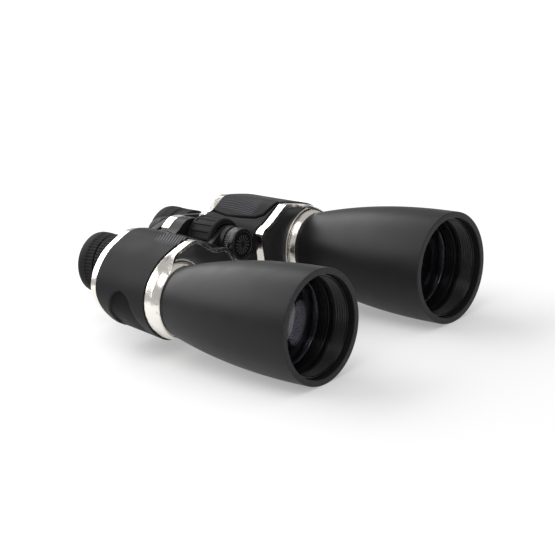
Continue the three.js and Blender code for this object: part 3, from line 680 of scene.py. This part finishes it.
def front_band(name, side):
    """Bright band round the housing's front edge. On the outer side it runs forward over
    the root ring as one surface."""
    rows = [TRIM_FRONT, TRIM_FRONT + 0.8, TRIM_FRONT + 3, TRIM_BACK - 0.8, TRIM_BACK]
    bm = facing_out(skin([(y, section(name, y, True)) for y in rows], 3))
    inward = {v: -outward(v) for v in bm.verts}
    for v in bm.verts:
        along = (TRIM_BACK - v.co.y) / (TRIM_BACK - TRIM_FRONT)
        out = Vector((v.co.x - BARREL_X, 0, v.co.z))
        angle = math.degrees(math.atan2(out.z, out.x))
        reach = share(angle, *REACH_RISE) * (1 - share(angle, *REACH_FALL))
        lip = max(0.0, 1 - (v.co.y - TRIM_FRONT) / LIP_DEPTH)
        v.co += inward[v] * (1 - reach) * LIP_ROLL * (1 - math.sqrt(1 - lip * lip))
        v.co.y -= reach * along * (TRIM_FRONT - ROOT_FRONT)
        over_ring = min(1.0, max(0.0, (v.co.y - ROOT_FRONT) / (TRIM_FRONT - ROOT_FRONT)))
        pull = reach * share(along, 0.0, 0.9)
        hood = HOOD_RADIUS + HOOD_FLARE * over_ring ** 0.8
        radius = out.length * (1 - pull) + hood * pull
        v.co.x = BARREL_X + out.x / out.length * radius
        v.co.z = out.z / out.length * radius
    walled(bm, BAND_WALL)
    return soften(turned_over(bm, side), 0.3, 2, 50)


def rear_band(name, side):
    """Bright band round the housing's rear edge, from where the armour ends."""
    rows = [BAND_START, BAND_START + 0.8, BAND_START + 2.5, REAR_BACK - 0.8, REAR_BACK]
    bm = walled(skin([(y, section(name, y)) for y in rows], 3), BAND_WALL)
    return soften(turned_over(bm, side), 0.45, 3, 50)


def cover(name, side, y0, y1, x, z, bore, dome, facing):
    """A cover plate set into a trim: outline, round hole and a slightly domed face.
    facing is -1 for a face towards the objectives, and 1 for one towards the eyes."""
    outline = [(y, section(name, y, facing < 0)) for y in (y0, y1)]
    bm = swell(skin(outline, 3), -PLATE_INSET)
    rims = {y: edges_at(bm, y) for y in (y0, y1)}
    holes = {y: circle(bm, x, y, z, bore, len(rims[y])) for y in (y0, y1)}
    face_y = y0 if facing < 0 else y1
    still = kdtree.KDTree(len(rims[face_y]) + len(holes[face_y]))
    for i, e in enumerate(rims[face_y] + holes[face_y]):
        still.insert(e.verts[0].co, i)
    still.balance()
    for y in (y0, y1):
        made = bmesh.ops.bridge_loops(bm, edges=rims[y] + holes[y])
        if y == face_y:
            bmesh.ops.subdivide_edges(bm, edges=made["edges"], cuts=7, use_grid_fill=True)
    bmesh.ops.bridge_loops(bm, edges=holes[y0] + holes[y1])
    for v in bm.verts:
        if abs(v.co.y - face_y) < 0.01:
            away = still.find(v.co)[2]
            v.co.y += facing * dome * (1 - math.exp(-((away / DOME_REACH) ** 2)))
    bmesh.ops.recalc_face_normals(bm, faces=bm.faces[:])
    return soften(turned_over(bm, side), 0.3, 2, 50)


# ----------------------------------------------------------------------------- armour

# The groove round the raised pad on the inner slope, as a path of points, and the thumb
# recess's first and last y at each z
GROOVE = [(23.7, 157, 28.4), (22.9, 145, 26.9), (25.2, 136, 26.4), (28.0, 126, 26.3),
          (31.5, 121.5, 27.7), (36, 120.5, 30), (43.8, 119, 33.3)]
RECESS = [(9.0, 137.2, 138.8), (7.5, 133.8, 142.6), (5.4, 131.0, 145.0), (3.0, 129.8, 146.6),
          (-2.0, 128.6, 149.5), (-8.0, 127.2, 152.5), (-14.5, 125.5, 154.5),
          (-22.0, 124.5, 155.0), (-30.0, 124.5, 155.0)]
GROOVE_DEPTH, RECESS_DEPTH = 1.2, 1.35
# How strongly shade is painted into the groove and into the recess
GROOVE_SHADE, RECESS_SHADE = 1.0, 0.6
ARMOUR_PROUD = 0.8


def in_recess(y, z):
    """1 in the thumb recess on the outer side of a half, falling to 0 at its edges."""
    if z > RECESS[0][0]:
        return 0.0
    for (z1, a1, b1), (z0, a0, b0) in zip(RECESS, RECESS[1:]):
        if z0 <= z <= z1:
            t = (z - z0) / (z1 - z0)
            low, high = a0 + (a1 - a0) * t, b0 + (b1 - b0) * t
            return share(y, low, low + 1.4) * (1 - share(y, high - 1.4, high))
    return 0.0


def in_groove(at, path):
    """1 in the groove round the raised pad, falling to 0 beside it."""
    best = 9.0
    for a, b in zip(path, path[1:]):
        t = min(1.0, max(0.0, (at - a).dot(b - a) / (b - a).length_squared))
        best = min(best, (at - a.lerp(b, t)).length)
    return 1 - share(best, 0.45, 1.35)


def armour(name, side):
    """A half's rubber skin. Its attribute says how much shade is painted into the thumb
    recess and the groove.
    """
    rows = [ARMOUR_FRONT, ARMOUR_FRONT + 1.2, 126, 134, 142, 150, BAND_START - 1.2,
            BAND_START]
    bm = swell(skin([(y, section(name, y)) for y in rows], 4), ARMOUR_PROUD)
    bm.normal_update()
    painted_shade = bm.verts.layers.float.new("painted_shade")
    path = [Vector(p) for p in GROOVE]
    moves = []
    for v in bm.verts:
        amount = 0.0
        if v.co.x > 60 and v.co.z < 10:
            amount = in_recess(v.co.y, v.co.z) * share(v.co.z, -24, -16)
            depth, shade = RECESS_DEPTH, RECESS_SHADE
        elif v.co.x < 48 and v.co.z > 22:
            amount = in_groove(v.co, path)
            depth, shade = GROOVE_DEPTH, GROOVE_SHADE
        # Shade to be painted into the recess and groove, weighted for each
        if amount:
            v[painted_shade] = amount * shade
            moves.append((v, outward(v) * amount * depth))
    for v, move in moves:
        v.co -= move
    walled(bm, 1.5)
    return soften(turned_over(bm, side), 0.5, 3, 55)


def inner_shell(name, side):
    """The metal housing inside the armour."""
    rows = [ARMOUR_FRONT, 132, 146, ARMOUR_BACK]
    bm = walled(swell(skin([(y, section(name, y)) for y in rows], 3), -2.3), 1.6)
    return soften(turned_over(bm, side), 0.2, 1, 50)


# ------------------------------------------------------------------------ both halves

# The ribbed grips of the near eyepiece: their ribs, how far out these begin, and how much
# of the eyecup they take
EYE_RIBS, RIB_FLOOR, CUP_RIBS = 54, 18.5, 6.0
GRIP_RADIUS = 19

for name, side in (("right", -1), ("left", 1)):
    half = f"{name}_half"
    ocular = f"{name}_ocular"
    x, eye_x = side * BARREL_X, side * EYE_X
    finished(barrel(x), f"{name}_flared_barrel", half, "barrel_black", "satin_black",
             f"{name}_barrel")
    finished(sleeve(x), f"{name}_threaded_sleeve", half, "gloss_black", "gloss_black",
             f"{name}_hood_sleeve")
    y0, y1 = span(f"{name}_objective_crown")
    finished(lens(y0 + 3, y1 - 2, 30.6, 3, 2, x, 0), f"{name}_front_lens", half,
             "optical_glass", "optical_glass", f"{name}_objective_crown")
    y0, y1 = span(f"{name}_objective_flint")
    finished(lens(y0, y1, 30.6, -2, 0, x, 0), f"{name}_second_lens", half,
             "optical_glass", "optical_glass", f"{name}_objective_flint")
    y0, y1 = span(f"{name}_objective_retainer")
    finished(soften(ring(y0, y1, 28.4, 30.9, x, 0), 0.2), f"{name}_lens_retainer", half,
             "black_metal", "black_metal", f"{name}_objective_retainer")
    finished(root_ring(x), f"{name}_root_ring", half, "bright_trim", "bright_trim")
    finished(front_band(name, side), f"{name}_front_band", half, "bright_trim",
             "bright_trim", f"{name}_front_bezel")
    finished(cover(name, side, PLATE_FACE, TRIM_BACK, BARREL_X, 0, 20.9, 0.9, -1),
             f"{name}_front_plate", half, "plate_black", "satin_black",
             f"{name}_front_cover")
    finished(plate_edge(side), f"{name}_plate_edge", half, "bright_trim", "bright_trim")
    finished(armour(name, side), f"{name}_rubber_armour", half, f"{name}_armour_rubber",
             "armour_rubber", f"{name}_armour")
    finished(inner_shell(name, side), f"{name}_housing_shell", half, "black_metal",
             "black_metal", f"{name}_prism_housing")
    finished(rear_band(name, side), f"{name}_rear_band", half, "bright_trim", "bright_trim",
             f"{name}_rear_trim")
    finished(cover(name, side, REAR_FRONT, REAR_BACK - 0.9, EYE_X, EYE_Z, TUBE_BORE, 0.5, 1),
             f"{name}_rear_plate", half, "satin_black", "satin_black", f"{name}_rear_cover")

    y0, y1 = span(f"{name}_eyepiece_tube")
    finished(soften(ring(y0, y1, 10.6, 12, eye_x, EYE_Z), 0.25), f"{name}_draw_tube",
             ocular, "black_metal", "black_metal", f"{name}_eyepiece_tube")
    for part, label in (("field_lens", "field_glass"), ("eye_lens", "eye_glass")):
        y0, y1 = span(f"{name}_{part}")
        finished(lens(y0 + 1.2, y1 - 1.2, 10.3, 1.2, 1.2, eye_x, EYE_Z, 64),
                 f"{name}_{label}", ocular, "optical_glass", "optical_glass",
                 f"{name}_{part}")
    y0, y1 = span(f"{name}_lens_spacer")
    finished(soften(ring(y0, y1, 8.9, 10.3, eye_x, EYE_Z, 64), 0.2),
             f"{name}_spacer_tube", ocular, "black_metal", "black_metal",
             f"{name}_lens_spacer")
    y0, y1 = span(f"{name}_eyecup")
    lip = [(y1 - 3.5, 19.5), (y1 - 2.0, 19.1), (y1 - 0.9, 18.2), (y1 - 0.2, 17.0),
           (y1, 16.0), (y1 - 0.2, 14.9), (y1 - 0.9, 14.1)]
    cup = [(y0, TUBE_BORE), (y0, 18.6), (y0 + 0.6, 19.1), (y0 + CUP_RIBS, 19.2),
           (y0 + CUP_RIBS + 0.4, 19.5)] + lip
    cup += [(y1 - 3, 13.5), (y1 - 8, 12.8),
            (span(f"{name}_eyepiece_tube")[1] + 0.3, TUBE_BORE)]
    if side < 0:
        bm = ribs(lathe(cup, eye_x, EYE_Z, EYE_RIBS * 8), eye_x, EYE_Z, y0 + 0.6,
                  y0 + CUP_RIBS, RIB_FLOOR, EYE_RIBS, 0.5)
    else:
        bm = lathe(cup, eye_x, EYE_Z, 112)
    finished(bm, f"{name}_rolled_eyecup", ocular, "soft_rubber", "soft_rubber",
             f"{name}_eyecup")

    y0, y1 = span(f"{name}_bridge_arm")
    arm = link(y0, y1, [(EYE_X, EYE_Z, 16.5), (0, HINGE_Z, 9)],
               [(EYE_X, EYE_Z, TUBE_BORE, 72), (0, HINGE_Z, ROD_BORE, 32)])
    finished(soften(turned_over(arm, side), 0.9, 3, 50), f"{name}_sliding_arm",
             "eyepiece_bridge" if side < 0 else ocular, "satin_black", "satin_black",
             f"{name}_bridge_arm")

    y0, y1 = span(f"{name}_front_lug")
    lug = link(y0, y1, [(24, 11, 5.5), (0, HINGE_Z, 10.6)], [(0, HINGE_Z, PIN_BORE, 48)])
    finished(soften(turned_over(lug, side), 0.5, 3, 50), f"{name}_hinge_lug", half,
             "satin_black", "black_metal", f"{name}_front_lug")

# --------------------------------------------------------------- eyepiece rings and hinge

y0, y1 = span("dioptre_ring")
profile = [(y0, TUBE_BORE), (y0, 18.2), (y0 + 0.8, GRIP_RADIUS), (y0 + 1.4, GRIP_RADIUS),
           (y1 - 1.4, GRIP_RADIUS), (y1 - 0.8, GRIP_RADIUS), (y1, 18.2), (y1, TUBE_BORE)]
bm = ribs(lathe(profile, -EYE_X, EYE_Z, EYE_RIBS * 8), -EYE_X, EYE_Z, y0 + 0.8, y1 - 0.8,
          RIB_FLOOR, EYE_RIBS, 0.55)
finished(bm, "ribbed_dioptre_ring", "dioptre_ring", "soft_rubber", "soft_rubber",
         "dioptre_ring")
y0, y1 = span("left_eyepiece_collar")
profile = [(y0, TUBE_BORE), (y0, 18.0), (y0 + 1.0, GRIP_RADIUS), (y1 - 2.4, GRIP_RADIUS),
           (y1 - 2.0, 18.6), (y1 - 1.6, GRIP_RADIUS), (y1 - 0.5, GRIP_RADIUS), (y1, 18.5),
           (y1, TUBE_BORE)]
finished(soften(lathe(profile, EYE_X, EYE_Z, 112), 0.2, 2, 35), "left_plain_collar",
         "left_ocular", "soft_rubber", "soft_rubber", "left_eyepiece_collar")

y0, y1 = span("hinge_cap")
cap = [(y0 + 0.5, 0), (y0 + 0.5, 7.8), (y0 + 0.1, 8.2), (y0, 8.6), (y0, 9.6),
       (y0 + 0.35, 10.15), (y0 + 0.9, 10.3), (y0 + 4.0, 10.3), (y0 + 4.3, 10.1),
       (y0 + 4.3, 8.5), (y0 + 1.7, 8.5), (y0 + 1.7, 2.7), (y1 - 0.4, 2.7), (y1, 2.3), (y1, 0)]
finished(lathe(cap, 0, HINGE_Z, 112), "rayed_hinge_cap", "hinge_cap", "cap_face",
         "satin_black", "hinge_cap")
y0, y1 = span("hinge_ring")
profile = [(y0, PIN_BORE), (y0, 9.7), (y0 + 0.3, 10), (y1 - 0.3, 10), (y1, 9.7),
           (y1, PIN_BORE)]
bm = ribs(lathe(profile, 0, HINGE_Z, 288), 0, HINGE_Z, y0 + 0.3, y1 - 0.3, 9.8, 48, 0.35)
finished(bm, "knurled_hinge_ring", "right_half", "dark_chrome", "grey_metal", "hinge_ring")
y0, y1 = span("tripod_bush")
finished(soften(ring(y0, y1, 3.2, 4.7, 0, HINGE_Z, 64), 0.2), "tripod_thread_bush",
         "right_half", "brass", "brass", "tripod_bush")
y0, y1 = span("front_hinge_pin")
pin = [(y0 + 9.3, 0), (y0 + 9.3, 5.0), (y0, 5.0), (y0, PIN_RADIUS), (y1, PIN_RADIUS),
       (y1, 0)]
finished(soften(lathe(pin, 0, HINGE_Z, 64), 0.25), "front_pin", "right_half", "black_metal",
         "black_metal", "front_hinge_pin")

# Right rear lug: a hub on the hinge whose back rises in a hump, edged with a bright band
y0, y1 = span("right_rear_lug")
bm = skin([(y, HUMP) for y in (y0, y0 + 1, REAR_BACK - 2, REAR_BACK - 1)], 3)
swell(bm, -0.3)
for y in (y0, REAR_BACK - 1):
    bmesh.ops.contextual_create(bm, geom=edges_at(bm, y))
bmesh.ops.recalc_face_normals(bm, faces=bm.faces[:])
finished(soften(bm, 0.8, 3, 50), "right_hump_lug", "right_half", "satin_black",
         "black_metal", "right_rear_lug")
rows = [REAR_FRONT, REAR_FRONT + 0.8, REAR_FRONT + 3, REAR_BACK - 0.8, REAR_BACK]
# The band stops short of the right rear plate
bm = trimmed(walled(skin([(y, HUMP) for y in rows], 3), 1.8), (-15.2, 0, 8),
             (-0.978, 0, -0.21))
finished(soften(bm, 0.4, 3, 50), "right_hump_band", "right_half",
         "bright_trim", "bright_trim")
finished(soften(ring(REAR_BACK - 1.2, y1, ROD_BORE, PIN_RADIUS, 0, HINGE_Z, 64), 0.25),
         "rear_pin", "right_half", "black_metal", "black_metal")

y0, y1 = span("left_rear_lug")
lug = link(y0, y1, [(29, 19.2, 5), (0, HINGE_Z, 12.5)], [(0, HINGE_Z, PIN_BORE, 48)])
finished(soften(lug, 0.8, 3, 50), "left_hinge_lug_rear", "left_half", "satin_black",
         "black_metal", "left_rear_lug")

# --------------------------------------------------------------------------- focusing

# The grip has sunken pads with ribs between them. Each pad and its share of the ribs take
# COLUMNS columns of faces, of which the first and last are rib.
PADS, COLUMNS = 18, 6

y0, y1 = span("focus_wheel_grip")
stations = [(y0, 12.6), (y0, 13.9), (y0 + 0.4, 14.5), (y0 + 1.2, 14.8), (y0 + 2.2, 14.8),
            (y1 - 2.2, 14.8), (y1 - 1.2, 14.8), (y1 - 0.4, 14.5), (y1, 13.9), (y1, 12.6)]
bm = lathe(stations, 0, HINGE_Z, PADS * COLUMNS)
bm.faces.ensure_lookup_table()
for pad in range(PADS):
    group = []
    for f in bm.faces:
        c = f.calc_center_median()
        out = Vector((c.x, 0, c.z - HINGE_Z))
        if out.length > 14.5 and y0 + 2.2 < c.y < y1 - 2.2:
            column = int((math.atan2(out.z, out.x) % TURN) / TURN * PADS * COLUMNS)
            if column // COLUMNS == pad and 0 < column % COLUMNS < COLUMNS - 1:
                group.append(f)
    bmesh.ops.inset_region(bm, faces=group, thickness=0.45, depth=-0.6,
                           use_even_offset=True, use_boundary=True)
soften(bm, 0.18, 2, 28)
finished(bm, "padded_focus_grip", "focus_wheel", "soft_rubber", "soft_rubber",
         "focus_wheel_grip")
core = [(y0 + 5, ROD_BORE), (y0 + 5, 5.2), (y0 + 5.8, 6), (y1 - 5, 7.5), (y1 - 5, 10.8),
        (y0 + 0.6, 10.8), (y0, 11.4), (y0, 12.3), (y1, 12.3), (y1, ROD_BORE)]
finished(soften(lathe(core, 0, HINGE_Z, 96), 0.2, 2, 35), "hollow_wheel_core",
         "focus_wheel", "black_metal", "black_metal", "focus_wheel_core")
y0, y1 = span("focus_spindle")
finished(soften(lathe([(y0, 0), (y0, 3), (y1, 3), (y1, 0)], 0, HINGE_Z, 48), 0.3),
         "focus_rod", "eyepiece_bridge", "spring_steel", "spring_steel", "focus_spindle")
y0, y1 = span("bridge_end_cap")
end = [(y0 + 2.05, 0), (y0 + 2.05, ROD_BORE), (y0, ROD_BORE), (y0, 7), (y1 - 1, 7),
       (y1 - 0.3, 6.6), (y1, 5.8), (y1, 0)]
finished(soften(lathe(end, 0, HINGE_Z, 64), 0.15, 2, 40), "bridge_nut", "eyepiece_bridge",
         "satin_black", "black_metal", "bridge_end_cap")

# ------------------------------------------------------------- pieces kept from the frame

for name in ("right", "left"):
    for part, finish in (("prism_shelf", "black_metal"), ("rear_prism", "prism_glass"),
                         ("front_prism", "prism_glass"), ("rear_prism_clip", "spring_steel"),
                         ("front_prism_clip", "spring_steel")):
        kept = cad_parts[f"{name}_{part}"].data
        kept.materials.clear()
        kept.materials.append(FINISHES[finish])

# ------------------------------------------------------------------- floor, light, camera

LAMP_AIM = Vector((0, 0, 0.03))

floor_finish = Finish("pale_floor", Roughness=0.9, Emission_Strength=0.33,
                      Emission_Color=(1, 1, 1, 1))
floor_finish.feed("Base Color", floor_finish.blend(floor_finish.noise(3, 3),
                                                   (0.6, 0.6, 0.6, 1), (0.64, 0.64, 0.64, 1)))
bm = bmesh.new()
bmesh.ops.create_grid(bm, x_segments=1, y_segments=1, size=8)
floor_mesh = bpy.data.meshes.new("studio_floor")
bm.to_mesh(floor_mesh)
bm.free()
floor_mesh.materials.append(floor_finish.material)
floor = bpy.data.objects.new("studio_floor", floor_mesh)
bpy.context.scene.collection.objects.link(floor)


def softbox(name, at, width, height, power):
    """A soft lamp at a place, turned to the binoculars."""
    lamp = bpy.data.lights.new(name, "AREA")
    lamp.shape, lamp.size, lamp.size_y, lamp.energy = "RECTANGLE", width, height, power
    box = bpy.data.objects.new(name, lamp)
    bpy.context.scene.collection.objects.link(box)
    box.location = at
    aim = LAMP_AIM - Vector(at)
    box.rotation_euler = aim.to_track_quat("-Z", "Y").to_euler()


softbox("back_softbox", (-0.1, 1.2, 0.85), 2.2, 1.0, 26)
softbox("overhead_softbox", (-0.5, -0.2, 1.2), 0.8, 0.8, 4)
softbox("front_softbox", (0.1, -1.6, 0.5), 0.3, 0.3, 2)

world = bpy.data.worlds.new("studio")
world.use_nodes = True
world.node_tree.nodes["Background"].inputs["Color"].default_value = (1, 1, 1, 1)
world.node_tree.nodes["Background"].inputs["Strength"].default_value = 0.5
bpy.context.scene.world = world
bpy.context.scene.view_settings.view_transform = "Standard"

# The camera's turn, its distance and its shift across and up, in millimetres, and its
# focal length over its sensor's width
AZIMUTH, ELEVATION, ROLL = math.radians(-49.135), math.radians(17.077), math.radians(-4.293)
DISTANCE = 1449.7
AIM_ACROSS, AIM_UP = -66.47, 11.54
SENSOR = 36
FOCAL_RATIO = 2423.4 / 555

back = Vector((math.sin(AZIMUTH) * math.cos(ELEVATION),
               -math.cos(AZIMUTH) * math.cos(ELEVATION), math.sin(ELEVATION)))
level = Vector((math.cos(AZIMUTH), math.sin(AZIMUTH), 0))
upright = back.cross(level)
across = level * math.cos(ROLL) + upright * math.sin(ROLL)
upward = -level * math.sin(ROLL) + upright * math.cos(ROLL)
eye = TO_FRAME @ (back * DISTANCE + across * AIM_ACROSS + upward * AIM_UP)
camera_data = bpy.data.cameras.new("camera")
camera_data.sensor_width = SENSOR
camera_data.lens = FOCAL_RATIO * SENSOR
camera_data.clip_end = 50
camera = bpy.data.objects.new("camera", camera_data)
bpy.context.scene.collection.objects.link(camera)
camera.matrix_world = Matrix.Translation(eye) @ Matrix(
    [[across[i], upward[i], back[i]] for i in range(3)]).to_4x4()
bpy.context.scene.camera = camera
